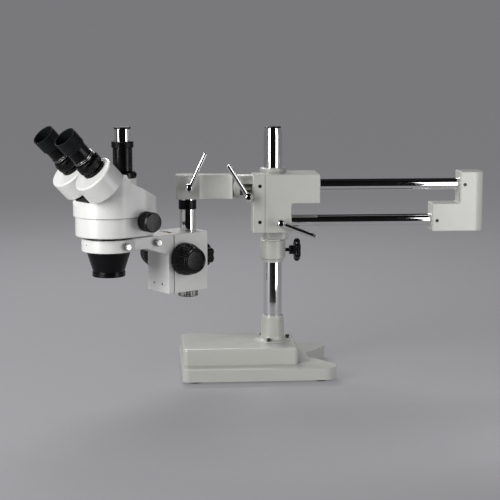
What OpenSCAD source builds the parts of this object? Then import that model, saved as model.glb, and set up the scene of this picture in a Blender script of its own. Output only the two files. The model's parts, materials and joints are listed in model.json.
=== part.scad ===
// Trinocular stereo microscope on a double-arm boom stand.
// Origin: underside of the base casting, on the pillar's axis. +Z up, +X towards the rear
// of the boom, -Y towards the side that carries the clamp levers. Millimetres.

/* [Stand] */
// Length of the base plate along the boom, over its two rear lobes
base_length = 261; // [250:1:280]
// Width of the base plate across the boom
base_width = 206; // [190:1:230]
// Thickness of the base plate
plate_thick = 20; // [16:1:24]
// Height of the raised block's top over the base's underside
block_height = 48; // [42:1:56]
// Height of the rubber feet under the base
foot_height = 4; // [3:0.5:6]
// Diameter of the chrome pillar
pillar_d = 32; // [30:0.5:34]
// Height of the pillar's cap over the base's underside
pillar_top = 418.5; // [410:0.5:440]
// Outer diameter of the pillar's socket
socket_d = 40; // [38:0.5:46]
// Height of the socket's top
socket_top = 92; // [80:1:110]

/* [Boom] */
// Height of the stop collar's lower face
collar_z = 191.5; // [185:0.5:195]
// Outer diameter of the stop collar
collar_d = 44; // [42:0.5:48]
// Diameter of the two boom rods
rod_d = 20; // [18:0.5:21]
// Distance of the rods in front of the pillar's axis
rod_offset = 30; // [29:0.5:31]
// Height of the upper rod
upper_rod_z = 321; // [318:0.5:324]
// Height of the lower rod
lower_rod_z = 260; // [257:0.5:263]

/* [Focus and head] */
// Diameter of the vertical focus post
post_d = 27.5; // [26:0.5:28]
// Distance of the focus post from the pillar along the boom
post_x = -147.5; // [-149:0.5:-146]
// Turn of the microscope about the post, away from the boom's line
head_yaw = 34; // [20:1:40]
// Distance from the focus post to the optical axis
reach = 158.5; // [156:0.5:162]
// Diameter of the head's neck, held in the ring
neck_d = 76; // [76:0.5:77]
// Outer diameter of the holder ring
ring_d = 87.5; // [86:0.5:92]
// Diameter of the focus knobs at their inner rim
focus_knob_d = 54; // [50:1:56]
// Distance between the eyepieces
eye_distance = 65; // [64:0.5:66]
// Tilt of the eyetubes over the horizontal
eye_tilt = 45; // [44:1:46]

/* [Hidden] */
$fn = 64;

// Clearances
run_gap = 0.05;      // radial, for a shaft that turns or slides in a bore

// Stand
pillar_r = pillar_d / 2;
base_rear = 101;                                  // X of the lobes' ends
base_front = base_rear - base_length;
base_mid_y = -6;                                  // the base's middle line across the boom
block_x = [base_front + 2, 38.5];
block_half_w = 67;
screw_circle_r = 27;
screw_angles = [-110, 10, 130];

// Collar and block
arm_y = -rod_offset;
rod_r = rod_d / 2;
collar_h = 32.5;
collar_top = collar_z + collar_h;
washer_h = 2;
boss_z = collar_top + washer_h + 0.4;
block_z = [241, 341];
block_step_z = 290.5;
block_x0 = -17.4;
block_x_low = 27.6;
block_x_up = 76.2;
block_y = [-50, 21];
bush_wall = 2;
lever_y = -62;                                    // plane of the three ball levers
lever_ball_d = 15;
lever_rod_d = 7;
lever_len = 64;

// Boom ends
yoke_x = [-38.7, -17.9];
tilt_x0 = -71.5;
tilt_z = 320;
tilt_r = 19.8;
spindle_r = 11;
bracket_x = [268, 315, 355];
bracket_y = [-51, -9];
bracket_z = [241, 289.6, 343.5];

// Swing arm and post
arm_x = [-166.8, -72.1];
arm_z = [300, 340];
arm_half = 20;
post_r = post_d / 2;
post_z = [133, 334];
spacer_z = [282, 297.5];
stop_z = [133, 143.5];

// Focus drive, in the post's own frame: +X towards the user, +Y to the user's right
house_u = [-20, 49.5];
house_w = 31;
house_z = [146.5, 246];
slide_u = [50.2, 61.5];
knob_u = 32;
knob_z = 204;
knob_w = [32.5, 68.5];
knob_r = focus_knob_d / 2;
shaft_r = 4;
rack_pitch_r = 7;

// Ring and arm
ring_z = [226, 247];
arm_top_z = 246.5;
arm_low_z = 214;

// Head, in its own frame on the optical axis
neck_r = neck_d / 2;
low_z = [251, 283.5];
web_z = [237, 240];
head_r = 54;
rear_r = 42;
rear_c = [-34, 11];
wall = 3;
crown_z = 353;                                    // ridge behind the prism housings
front_edge_z = 299;
drum_r = 34.2;
drum_len = 36;
drum_w = 34.8;                                    // prism housings' turning axes, either side
drum_foot = [25, 331.5];                          // where that axis leaves the head, [u, z]
tube_up = 8;                                      // eyetube's offset up the end face
tube_in = drum_w - eye_distance / 2;
zoom_u = -35;
zoom_z = 276.3;
zoom_r = 16.2;
zoom_w = 55.7;                                    // where the zoom knobs start, either side
photo_u = -29.5;
photo_z = [342.5, 353, 391.6, 401.8, 422, 425];
shroud_z = [184.3, 192, 226];
aux_thread_r = 24;
lens_z = 196;
lens_r = 9.5;

// ---------- helpers ----------

module at_post() {
    translate([post_x, arm_y, 0])
        rotate([0, 0, 180 + head_yaw])
            children();
}

module at_head() {
    at_post()
        translate([reach, 0, 0])
            children();
}

// Block with upright edges of radius r, between two corners
module post_box(x, y, z, r) {
    translate([0, 0, z[0]])
        linear_extrude(z[1] - z[0]) {
            translate([x[0] + r, y[0]])
                square([x[1] - x[0] - 2 * r, y[1] - y[0]]);
            translate([x[0], y[0] + r])
                square([x[1] - x[0], y[1] - y[0] - 2 * r]);
            for (px = [x[0] + r, x[1] - r], py = [y[0] + r, y[1] - r])
                translate([px, py])
                    circle(r);
        }
}

module along_x(x, y, z) {
    translate([x, y, z])
        rotate([0, 90, 0])
            children();
}

// Children's +Z points along -Y
module facing_front(x, y, z) {
    translate([x, y, z])
        rotate([90, 0, 0])
            children();
}

// Children's +Z points along +Y
module facing_back(x, y, z) {
    translate([x, y, z])
        rotate([-90, 0, 0])
            children();
}

module ring_solid(r_out, r_in, h) {
    difference() {
        cylinder(r = r_out, h = h);
        translate([0, 0, -1])
            cylinder(r = r_in, h = h + 2);
    }
}

// Turned piece from a list of [radius, height] points, closed on its axis
module turned(points) {
    rotate_extrude()
        polygon(concat([[0, points[0][1]]], points, [[0, points[len(points) - 1][1]]]));
}

// Lobed grip of radius r with n lobes, h tall
module lobed_grip(r, n, h) {
    lobe = r * 0.3;
    union() {
        cylinder(r = r - lobe * 0.8, h = h);
        for (i = [0 : n - 1])
            rotate([0, 0, i * 360 / n])
                translate([r - lobe, 0, 0])
                    cylinder(r = lobe, h = h, $fn = 32);
    }
}

// Knurled drum: a cylinder with n shallow grooves along it
module ribbed(r, h, n, depth) {
    difference() {
        cylinder(r = r, h = h);
        for (i = [0 : n - 1])
            rotate([0, 0, i * 360 / n])
                translate([r, 0, -1])
                    cylinder(r = depth, h = h + 2, $fn = 16);
    }
}

// Ball lever: stud along -Y from its seat, ball hub, and a straight rod at angle a over +X
module ball_lever(x, z, a, stud_end) {
    rod_start = 3;
    difference() {
        union() {
            facing_front(x, stud_end, z)
                cylinder(r = 3, h = stud_end - lever_y);
            translate([x, lever_y, z])
                sphere(d = lever_ball_d);
            translate([x, lever_y, z])
                rotate([0, 90 - a, 0])
                    translate([0, 0, rod_start])
                        turned([
                            [lever_rod_d / 2, 0],
                            [lever_rod_d / 2, lever_len - rod_start - 2],
                            [lever_rod_d / 2 - 2, lever_len - rod_start]
                        ]);
        }
        facing_front(x, lever_y - lever_ball_d / 2 + 1.5, z)
            cylinder(r = 2, h = 3);
    }
}

module ball_lever_hole(x, z, y_end) {
    facing_front(x, y_end, z)
        cylinder(r = 3 + run_gap, h = 60);
}

// ---------- base ----------

module base_outline() {
    lobe_r = 24;
    notch_r = 9;
    half = base_width / 2;
    notch_x = 60;
    notch_half = 25;
    difference() {
        union() {
            translate([base_front + 12, base_mid_y - half])
                square([base_rear - base_front - 12 - lobe_r, base_width]);
            translate([base_front, base_mid_y - half + 12])
                square([40, base_width - 24]);
            for (s = [-1, 1]) {
                translate([base_front + 12, base_mid_y + s * (half - 12)])
                    circle(12);
                translate([base_rear - lobe_r, base_mid_y + s * (half - lobe_r)])
                    circle(lobe_r);
            }
        }
        polygon([
            [notch_x + notch_r, base_mid_y - notch_half],
            [base_rear + 5, base_mid_y - half + lobe_r],
            [base_rear + 5, base_mid_y + half - lobe_r],
            [notch_x + notch_r, base_mid_y + notch_half]
        ]);
        translate([notch_x, base_mid_y - notch_half + notch_r])
            square([notch_r + 0.1, 2 * (notch_half - notch_r)]);
        for (s = [-1, 1])
            translate([notch_x + notch_r, base_mid_y + s * (notch_half - notch_r)])
                circle(notch_r);
    }
}

module base_casting() {
    color("gainsboro")
        difference() {
            union() {
                linear_extrude(plate_thick)
                    base_outline();
                post_box(block_x, [base_mid_y - block_half_w, base_mid_y + block_half_w],
                    [plate_thick - 1, block_height], 9);
            }
            // pillar seat and screw holes
            translate([0, 0, 8])
                cylinder(r = pillar_r, h = block_height);
            for (a = screw_angles)
                rotate([0, 0, a])
                    translate([screw_circle_r, 0, block_height - 16])
                        cylinder(r = 2.5, h = 20);
        }
}

module foot_positions() {
    for (p = [[base_front + 22, -82], [base_front + 22, 82], [74, -80], [74, 80]])
        translate([p[0], base_mid_y + p[1], -foot_height])
            children();
}

module rubber_feet() {
    color([0.08, 0.08, 0.08])
        foot_positions()
            turned([[11, 0], [12.5, 1], [13.5, foot_height]]);
}

module pillar_socket() {
    r = socket_d / 2;
    color("gainsboro")
        difference() {
            translate([0, 0, block_height])
                turned([
                    [r + 11, 0],
                    [r + 11, 1.5],
                    [r + 0.5, 3.5],
                    [r, socket_top - block_height - 11],
                    [r - 0.6, socket_top - block_height - 10],
                    [r - 0.6, socket_top - block_height - 4],
                    [r - 2.4, socket_top - block_height]
                ]);
            translate([0, 0, block_height - 1])
                cylinder(r = pillar_r, h = socket_top);
            for (a = screw_angles)
                rotate([0, 0, a])
                    translate([screw_circle_r, 0, block_height - 1])
                        cylinder(r = 2.5, h = 10);
        }
}

module socket_screws() {
    color([0.2, 0.2, 0.2])
        for (a = screw_angles)
            rotate([0, 0, a])
                translate([screw_circle_r, 0, block_height])
                    difference() {
                        union() {
                            translate([0, 0, -14])
                                cylinder(r = 2.5, h = 17);
                            translate([0, 0, 3.5])
                                cylinder(r = 3.4, h = 3);
                            translate([0, 0, 2.9])
                                cylinder(r = 2.5, h = 1);
                        }
                        translate([0, 0, 5])
                            cylinder(r = 1.8, h = 3, $fn = 6);
                    }
}

module pillar() {
    color("silver")
        difference() {
            translate([0, 0, 8])
                turned([
                    [pillar_r - 1, 0],
                    [pillar_r, 1],
                    [pillar_r, pillar_top - 22],
                    [pillar_r - 2.2, pillar_top - 12],
                    [pillar_r - 2.2, pillar_top - 10]
                ]);
            // socket for the cap's plug
            translate([0, 0, pillar_top - 22])
                cylinder(r = 9, h = 30);
        }
}

module pillar_cap() {
    color([0.08, 0.08, 0.08])
        translate([0, 0, pillar_top - 2])
            union() {
                turned([[pillar_r - 2.2, 0], [pillar_r - 2.2, 1.2], [pillar_r - 3.4, 2]]);
                translate([0, 0, -12])
                    cylinder(r = 9, h = 12.5);
            }
}

// ---------- stop collar ----------

module stop_collar() {
    color("gainsboro")
        difference() {
            translate([0, 0, collar_z])
                turned([
                    [collar_d / 2 - 3.5, -6],
                    [collar_d / 2 - 3.5, 0],
                    [collar_d / 2 - 1.2, 0],
                    [collar_d / 2, 1.2],
                    [collar_d / 2, collar_h - 1.2],
                    [collar_d / 2 - 1.2, collar_h]
                ]);
            translate([0, 0, collar_z - 10])
                cylinder(r = pillar_r + run_gap, h = collar_h + 20);
            along_x(0, 0, collar_z + 14)
                cylinder(r = 3 + run_gap, h = 60);
        }
}

module collar_knob() {
    color([0.06, 0.06, 0.06])
        along_x(0, 0, collar_z + 14)
            union() {
                translate([0, 0, pillar_r + 0.3])
                    cylinder(r = 3, h = 22);
                translate([0, 0, 28.5])
                    cylinder(r = 8, h = 9);
                translate([0, 0, 36.8])
                    lobed_grip(20, 6, 10.4);
            }
}

module thrust_washer() {
    color([0.8, 0.79, 0.74])
        translate([0, 0, collar_top])
            ring_solid(collar_d / 2 - 1.5, pillar_r + run_gap, washer_h);
}

// ---------- boom block ----------

module boom_block() {
    color("gainsboro")
        difference() {
            union() {
                post_box([block_x0, block_x_up], block_y, [block_step_z, block_z[1]], 3);
                post_box([block_x0, block_x_low], block_y, [block_z[0], block_step_z + 1], 3);
                post_box([block_x0, block_x_low - 1], [-22, block_y[1]], [boss_z, block_z[0] + 1], 14);
                translate([0, 0, block_z[1]])
                    turned([[22.5, 0], [22.5, 5.5], [20.5, 7.5]]);
            }
            translate([0, 0, 200])
                cylinder(r = pillar_r + run_gap, h = 200);
            for (z = [upper_rod_z, lower_rod_z])
                along_x(block_x0 - 1, arm_y, z)
                    cylinder(r = rod_r + 1, h = 120);
            for (x = [block_x0, block_x_up - 16])
                along_x(x - 0.01, arm_y, upper_rod_z)
                    cylinder(r = rod_r + bush_wall, h = 16.02);
            for (x = [block_x0, block_x_low - 14])
                along_x(x - 0.01, arm_y, lower_rod_z)
                    cylinder(r = rod_r + bush_wall, h = 14.02);
            ball_lever_hole(7.7, 259, arm_y - rod_r - 2.9);
            facing_back(2, 0, 262)
                cylinder(r = 4 + run_gap, h = 60);
        }
}

module rod_bushings() {
    color([0.72, 0.58, 0.3]) {
        for (x = [block_x0, block_x_up - 16])
            along_x(x, arm_y, upper_rod_z)
                ring_solid(rod_r + bush_wall, rod_r + run_gap, 16);
        for (x = [block_x0, block_x_low - 14])
            along_x(x, arm_y, lower_rod_z)
                ring_solid(rod_r + bush_wall, rod_r + run_gap, 14);
    }
}

module boom_lock_lever() {
    color("silver")
        ball_lever(7.7, 259, -21, arm_y - rod_r - 3.2);
}

module swing_lock_knob() {
    color([0.06, 0.06, 0.06])
        facing_back(2, pillar_r + 0.4, 262)
            union() {
                cylinder(r = 4, h = 12);
                translate([0, 0, 5.2])
                    cylinder(r = 7, h = 8);
                translate([0, 0, 12])
                    lobed_grip(17, 6, 11);
            }
}

// ---------- boom slide ----------

module upper_rod() {
    color("silver")
        along_x(yoke_x[0] + 8.7, arm_y, upper_rod_z)
            cylinder(r = rod_r, h = bracket_x[2] - 12 - yoke_x[0] - 8.7);
}

module lower_rod() {
    color("silver")
        along_x(yoke_x[0] + 8.7, arm_y, lower_rod_z)
            cylinder(r = rod_r, h = bracket_x[1] - yoke_x[0] - 8.7);
}

module rear_bracket() {
    round_r = 20;
    color("gainsboro")
        difference() {
            union() {
                // the rear end is round in plan, the steps towards the block are square
                for (part = [[bracket_x[0], bracket_z[0], bracket_z[1]],
                             [bracket_x[1], bracket_z[0], bracket_z[2]]]) {
                    post_box([part[0], bracket_x[2] - round_r], bracket_y, [part[1], part[2]], 2.5);
                    post_box([part[0] + 3, bracket_x[2]], bracket_y, [part[1], part[2]], round_r);
                }
            }
            along_x(bracket_x[0] - 1, arm_y, upper_rod_z)
                cylinder(r = rod_r, h = bracket_x[2] - 12 - bracket_x[0] + 1);
            along_x(bracket_x[0] - 1, arm_y, lower_rod_z)
                cylinder(r = rod_r, h = bracket_x[1] - bracket_x[0] + 1);
            for (p = [[bracket_x[1] + 8, upper_rod_z], [bracket_x[0] + 8, lower_rod_z]])
                facing_front(p[0], arm_y - rod_r, p[1])
                    cylinder(r = 3, h = 20);
        }
}

module front_yoke() {
    color("gainsboro")
        difference() {
            union() {
                post_box(yoke_x, [-50, -10], block_z, 2.5);
                along_x(tilt_x0, arm_y, tilt_z)
                    cylinder(r = tilt_r, h = yoke_x[0] - tilt_x0 + 5);
            }
            for (z = [upper_rod_z, lower_rod_z])
                along_x(yoke_x[0] + 8.7, arm_y, z)
                    cylinder(r = rod_r, h = 40);
            along_x(tilt_x0 - 1, arm_y, tilt_z)
                cylinder(r = spindle_r + run_gap, h = 38);
            // clamp slot that shows the spindle
            translate([-60, -60, tilt_z - 14])
                cube([21, 30 - spindle_r + 8, 19]);
            ball_lever_hole(-46.9, 304, -28);
            for (z = [upper_rod_z, lower_rod_z])
                facing_front((yoke_x[0] + yoke_x[1]) / 2 + 2, arm_y - rod_r, z)
                    cylinder(r = 3, h = 20);
        }
}

module set_screw() {
    difference() {
        cylinder(r = 3, h = 9.4);
        translate([0, 0, 6.4])
            cylinder(r = 1.7, h = 4, $fn = 6);
    }
}

module rod_set_screws() {
    color([0.2, 0.2, 0.2]) {
        for (z = [upper_rod_z, lower_rod_z])
            facing_front((yoke_x[0] + yoke_x[1]) / 2 + 2, arm_y - rod_r, z)
                set_screw();
        for (p = [[bracket_x[1] + 8, upper_rod_z], [bracket_x[0] + 8, lower_rod_z]])
            facing_front(p[0], arm_y - rod_r, p[1])
                set_screw();
    }
}

module tilt_lever() {
    color("silver")
        ball_lever(-46.9, 304, 122.4, -28.5);
}

// ---------- swing arm ----------

module swing_arm() {
    waist_r = 70;
    waist_x = -101;
    waist_depth = 6;
    color("gainsboro")
        difference() {
            post_box(arm_x, [arm_y - arm_half, arm_y + arm_half], arm_z, 4);
            // shallow waist on both sides
            for (s = [-1, 1])
                translate([waist_x, arm_y + s * (arm_half + waist_r - waist_depth), arm_z[0] - 1])
                    cylinder(r = waist_r, h = 50, $fn = 96);
            translate([post_x, arm_y, arm_z[0] - 1])
                cylinder(r = post_r + run_gap, h = post_z[1] - arm_z[0] + 1.5);
            along_x(-100, arm_y, tilt_z)
                cylinder(r = spindle_r, h = 40);
            ball_lever_hole(-145.7, 320, arm_y - post_r);
        }
}

module tilt_spindle() {
    color([0.55, 0.54, 0.5])
        along_x(-100, arm_y, tilt_z)
            turned([[spindle_r - 0.8, 0], [spindle_r, 0.8], [spindle_r, 63], [spindle_r - 0.8, 64]]);
}

module post_lever() {
    color("silver")
        ball_lever(-145.7, 320, 64.4, arm_y - post_r - 0.4);
}

// ---------- focus post ----------

module focus_post() {
    color("silver")
        translate([post_x, arm_y, post_z[0]])
            turned([
                [post_r - 1, 0],
                [post_r, 1],
                [post_r, post_z[1] - post_z[0] - 1],
                [post_r - 1, post_z[1] - post_z[0]]
            ]);
}

module post_spacer() {
    color([0.05, 0.05, 0.05])
        translate([post_x, arm_y, spacer_z[0]])
            ring_solid(post_r + 1.2, post_r, spacer_z[1] - spacer_z[0]);
}

module post_stop_ring() {
    color([0.12, 0.12, 0.12])
        translate([post_x, arm_y, stop_z[0]])
            difference() {
                ribbed(post_r + 3.2, stop_z[1] - stop_z[0], 24, 0.8);
                translate([0, 0, -1])
                    cylinder(r = post_r, h = 20);
            }
}

// ---------- focus drive ----------

module focus_housing() {
    tail = 15;             // half-width of the dovetail's mouth
    color("whitesmoke")
        at_post()
            difference() {
                post_box(house_u, [-house_w, house_w], house_z, 5);
                translate([0, 0, house_z[0] - 1])
                    cylinder(r = post_r + run_gap, h = 120);
                // dovetail way, open at both ends
                translate([0, 0, house_z[0] - 1])
                    linear_extrude(120)
                        polygon([
                            [house_u[1] + 1, -tail],
                            [house_u[1] + 1, tail],
                            [house_u[1], tail],
                            [house_u[1] - 8, tail + 4],
                            [house_u[1] - 8, -tail - 4],
                            [house_u[1], -tail]
                        ]);
                // room for the pinion and bore for its shaft
                translate([knob_u, 0, knob_z])
                    rotate([90, 0, 0]) {
                        translate([0, 0, -8])
                            cylinder(r = rack_pitch_r + 2.5, h = 16);
                        translate([0, 0, -50])
                            cylinder(r = shaft_r + run_gap, h = 100);
                    }
                // channel for the rack
                translate([house_u[1] - 10.5, -8, house_z[0] - 1])
                    cube([12, 16, 120]);
                translate([-10, 0, 200])
                    rotate([0, -90, 0])
                        cylinder(r = 4 + run_gap, h = 20);
            }
}

module post_clamp_knob() {
    color([0.06, 0.06, 0.06])
        at_post()
            translate([-post_r - 0.4, 0, 200])
                rotate([0, -90, 0])
                    union() {
                        cylinder(r = 4, h = 14);
                        translate([0, 0, 6.8])
                            cylinder(r = 8, h = 8);
                        translate([0, 0, 14])
                            lobed_grip(19, 6, 17);
                    }
}

// Gear with square-topped teeth, in plan
module gear_plan(root_r, tip_r, teeth) {
    pitch = 360 / teeth;
    polygon([
        for (i = [0 : teeth - 1], corner = [[root_r, 0.1], [root_r, 0.4], [tip_r, 0.55], [tip_r, 0.8]])
            corner[0] * [cos((i + corner[1]) * pitch), sin((i + corner[1]) * pitch)]
    ]);
}

module pinion_shaft() {
    color([0.6, 0.6, 0.62])
        at_post()
            translate([knob_u, 0, knob_z])
                rotate([90, 0, 0])
                    union() {
                        translate([0, 0, -60])
                            cylinder(r = shaft_r, h = 120);
                        translate([0, 0, -6])
                            linear_extrude(12)
                                gear_plan(rack_pitch_r - 1.2, rack_pitch_r + 1, 14);
                    }
}

// Focus knob from the housing outwards: ribbed drum, cone, raised rim and recessed cap
module focus_knob() {
    length = knob_w[1] - knob_w[0];
    drum_h = 15;
    difference() {
        union() {
            ribbed(knob_r, drum_h, 36, 0.9);
            translate([0, 0, drum_h])
                turned([
                    [knob_r - 1, 0],
                    [knob_r - 2.2, 3],
                    [knob_r - 4.6, length - drum_h - 1.5],
                    [knob_r - 6, length - drum_h]
                ]);
        }
        translate([0, 0, -1])
            cylinder(r = shaft_r, h = length - 7);
        translate([0, 0, length - 3])
            cylinder(r = knob_r - 10, h = 4);
        translate([0, 0, -1])
            ring_solid(knob_r - 5, shaft_r + 6, 8);
    }
}

module right_focus_knob() {
    color([0.05, 0.05, 0.05])
        at_post()
            translate([knob_u, knob_w[0], knob_z])
                rotate([-90, 0, 0])
                    focus_knob();
}

module left_focus_knob() {
    color([0.05, 0.05, 0.05])
        at_post()
            translate([knob_u, -knob_w[0], knob_z])
                rotate([90, 0, 0])
                    focus_knob();
}

// ---------- head holder ----------

module ring_holder() {
    arm_start = slide_u[0];
    color("whitesmoke")
        at_post()
            difference() {
                union() {
                    translate([reach, 0, ring_z[0]])
                        cylinder(r = ring_d / 2, h = ring_z[1] - ring_z[0]);
                    // arm, flat on top, deeper towards the slide
                    translate([0, house_w, 0])
                        rotate([90, 0, 0])
                            linear_extrude(2 * house_w)
                                polygon([
                                    [arm_start, arm_top_z],
                                    [arm_start, arm_low_z],
                                    [slide_u[1] + 6, arm_low_z],
                                    [slide_u[1] + 42, ring_z[0] + 0.5],
                                    [reach, ring_z[0] + 0.5],
                                    [reach, arm_top_z]
                                ]);
                    post_box(slide_u, [-house_w, house_w], [house_z[0], arm_low_z + 1], 2.5);
                }
                translate([reach, 0, ring_z[0] - 20])
                    cylinder(r = neck_r + run_gap, h = 60);
                // screw holes in the slide's front
                for (w = [-12, 12])
                    translate([slide_u[1] - 5, w, 161])
                        rotate([0, 90, 0])
                            cylinder(r = 2, h = 10);
                translate([reach - 5, 0, 236.5])
                    rotate([-90, 0, 0])
                        cylinder(r = 2.5 + run_gap, h = 60);
                translate([slide_u[1] + 24, 15, 236])
                    rotate([-90, 0, 0])
                        cylinder(r = 3 + run_gap, h = 40);
            }
}

module dovetail_slide() {
    tail = 14.7;
    color([0.6, 0.6, 0.62])
        at_post()
            difference() {
                translate([0, 0, house_z[0] + 1])
                    linear_extrude(house_z[1] - house_z[0] - 2)
                        polygon([
                            [slide_u[0], -tail],
                            [slide_u[0], tail],
                            [house_u[1] - 0.2, tail],
                            [house_u[1] - 7.6, tail + 3.6],
                            [house_u[1] - 7.6, -tail - 3.6],
                            [house_u[1] - 0.2, -tail]
                        ]);
                translate([house_u[1] - 9, -8.5, house_z[0]])
                    cube([6, 17, 120]);
            }
}

module focus_rack() {
    tooth = 2 * PI * rack_pitch_r / 14;
    count = 26;
    back = house_u[1] - 3;
    tips = rack_pitch_r + 1.3;                      // just clear of the pinion's tips
    color([0.55, 0.5, 0.38])
        at_post()
            difference() {
                translate([knob_u + tips, -6, knob_z - count * tooth / 2])
                    cube([back - knob_u - tips, 12, count * tooth]);
                for (i = [0 : count])
                    translate([knob_u + tips - 0.1, -7, knob_z + (i - count / 2) * tooth - tooth * 0.3])
                        cube([1.6, 14, tooth * 0.6]);
            }
}

// Thumb screw: stud from z = 0 outwards, knurled head of length 8
module thumb_screw(r, shank, head_r) {
    union() {
        cylinder(r = r, h = shank);
        translate([0, 0, shank - 0.5])
            ribbed(head_r, 8, 20, 0.5);
    }
}

module ring_clamp_screw() {
    color("silver")
        at_post()
            translate([reach - 5, neck_r + 0.2, 236.5])
                rotate([-90, 0, 0])
                    thumb_screw(2.5, 7.5, 6);
}

module arm_clamp_screw() {
    color("silver")
        at_post()
            translate([slide_u[1] + 24, 16, 236])
                rotate([-90, 0, 0])
                    thumb_screw(3, 17, 6);
}

// ---------- head ----------

// The head's plan: round in front about the optical axis, longer behind
module head_plan(grow) {
    circle(head_r + grow);
    for (s = [-1, 1])
        translate([rear_c[0], s * rear_c[1]])
            circle(rear_r + grow);
    translate([rear_c[0], -rear_c[1] - rear_r - grow])
        square([-rear_c[0], 2 * (rear_c[1] + rear_r + grow)]);
    translate([rear_c[0] - rear_r - grow, -rear_c[1]])
        square([rear_r, 2 * rear_c[1]]);
}

module lower_housing() {
    color("whitesmoke")
        at_head()
            difference() {
                union() {
                    translate([0, 0, low_z[0]])
                        linear_extrude(low_z[1] - low_z[0])
                            head_plan(-1);
                    translate([0, 0, ring_z[0]])
                        cylinder(r = neck_r, h = low_z[0] - ring_z[0] + 1);
                }
                translate([0, 0, low_z[0] + wall])
                    linear_extrude(low_z[1])
                        head_plan(-1 - wall);
                // inside of the neck, above and below the web that carries the guide rods
                translate([0, 0, ring_z[0] - 1])
                    cylinder(r = neck_r - 4, h = web_z[0] - ring_z[0] + 1);
                translate([0, 0, web_z[1]])
                    cylinder(r = neck_r - 4, h = 40);
                for (s = [-1, 1])
                    translate([0, s * 13, web_z[0] - 1])
                        cylinder(r = 9, h = 10);
                translate([zoom_u, 0, zoom_z])
                    rotate([90, 0, 0])
                        translate([0, 0, -70])
                            cylinder(r = shaft_r + run_gap, h = 140);
            }
}

// Side view of the upper housing, [u, z], shrunk by inset
module upper_profile(inset) {
    polygon([
        [head_r + 3 - inset, low_z[1] + 0.3 - 2 * inset],
        [head_r + 3 - inset, front_edge_z - inset * 0.4],
        [head_r + 3 - (crown_z - front_edge_z) - inset * 0.4, crown_z - inset],
        [0, crown_z - inset],
        [-8, 340 - inset],
        [-80 + inset, 305.5 - inset * 0.6],
        [-80 + inset, low_z[1] + 0.3 - 2 * inset]
    ]);
}

module upper_housing() {
    color("whitesmoke")
        at_head()
            difference() {
                union() {
                    intersection() {
                        translate([0, 0, low_z[1] - 5])
                            linear_extrude(80)
                                head_plan(2);
                        translate([0, 70, 0])
                            rotate([90, 0, 0])
                                linear_extrude(140)
                                    upper_profile(0);
                    }
                    translate([photo_u, 0, 300])
                        cylinder(r = 22, h = photo_z[0] - 300);
                }
                intersection() {
                    translate([0, 0, low_z[1] - 10])
                        linear_extrude(80)
                            head_plan(2 - wall);
                    translate([0, 70, 0])
                        rotate([90, 0, 0])
                            linear_extrude(140)
                                upper_profile(wall);
                }
                translate([photo_u, 0, 290])
                    cylinder(r = 11.6, h = 60);
                for (s = [-1, 1])
                    drum_frame(s)
                        translate([0, 0, -25])
                            cylinder(r = 11, h = 30);
            }
}

module objective_shroud() {
    color([0.05, 0.05, 0.05])
        at_head()
            difference() {
                turned([
                    [26.8, shroud_z[0]],
                    [26.8, shroud_z[1] - 0.6],
                    [26.2, shroud_z[1]],
                    [26.2, shroud_z[1] + 1.5],
                    [35.6, shroud_z[2] - 2],
                    [35.6, shroud_z[2]]
                ]);
                // thread for an auxiliary lens
                translate([0, 0, shroud_z[0] - 1])
                    cylinder(r = aux_thread_r, h = 7);
                // inside, below and above the web that holds the two lenses
                translate([0, 0, shroud_z[0] + 5.5])
                    cylinder(r = 22.5, h = lens_z - shroud_z[0] - 5.5);
                translate([0, 0, lens_z + 6])
                    cylinder(r = 22.5, h = 60);
                for (s = [-1, 1])
                    lens_place(s)
                        translate([0, 0, -5])
                            cylinder(r = lens_r, h = 20);
            }
}

// The two objectives lean towards each other and aim at one point below
module lens_place(s) {
    translate([0, s * 11.5, lens_z])
        rotate([s * -6, 0, 0])
            children();
}

module objective_lenses() {
    color([0.6, 0.75, 0.85, 0.5])
        at_head()
            for (s = [-1, 1])
                lens_place(s)
                    turned([[6, 0], [lens_r, 0.8], [lens_r, 5.2], [6, 6]]);
}

module zoom_shaft() {
    color([0.6, 0.6, 0.62])
        at_head()
            translate([zoom_u, 0, zoom_z])
                rotate([90, 0, 0])
                    union() {
                        translate([0, 0, -74])
                            cylinder(r = shaft_r, h = 148);
                        translate([0, 0, -9])
                            cylinder(r = 9, h = 18);
                    }
}

module zoom_knob() {
    difference() {
        union() {
            ribbed(zoom_r, 10.5, 30, 0.6);
            translate([0, 0, 10])
                cylinder(r = zoom_r - 1.4, h = 3);
            translate([0, 0, 12.5])
                ribbed(zoom_r, 10, 30, 0.6);
            translate([0, 0, 22.4])
                turned([[zoom_r - 1.2, 0], [zoom_r - 2.6, 2.6]]);
        }
        translate([0, 0, -1])
            cylinder(r = shaft_r, h = 20);
        translate([0, 0, 23.6])
            cylinder(r = 10.5, h = 3);
    }
}

module right_zoom_knob() {
    color([0.07, 0.07, 0.08])
        at_head()
            translate([zoom_u, zoom_w, zoom_z])
                rotate([-90, 0, 0])
                    zoom_knob();
}

module left_zoom_knob() {
    color([0.07, 0.07, 0.08])
        at_head()
            translate([zoom_u, -zoom_w, zoom_z])
                rotate([90, 0, 0])
                    zoom_knob();
}

module zoom_lens_cells() {
    color([0.15, 0.15, 0.15])
        at_head()
            for (s = [-1, 1])
                translate([6, s * 13, 258])
                    difference() {
                        union() {
                            cylinder(r = 10, h = 10);
                            translate([8, -4, 0])
                                cube([11, 8, 10]);
                        }
                        translate([0, 0, -1])
                            cylinder(r = 7.5, h = 12);
                        translate([14, 0, -1])
                            cylinder(r = 2 + run_gap, h = 12);
                    }
}

module zoom_guide_rods() {
    color("silver")
        at_head()
            for (s = [-1, 1])
                translate([20, s * 13, web_z[1]])
                    cylinder(r = 2, h = 48);
}

// ---------- prism housings and eyepieces ----------

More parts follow.
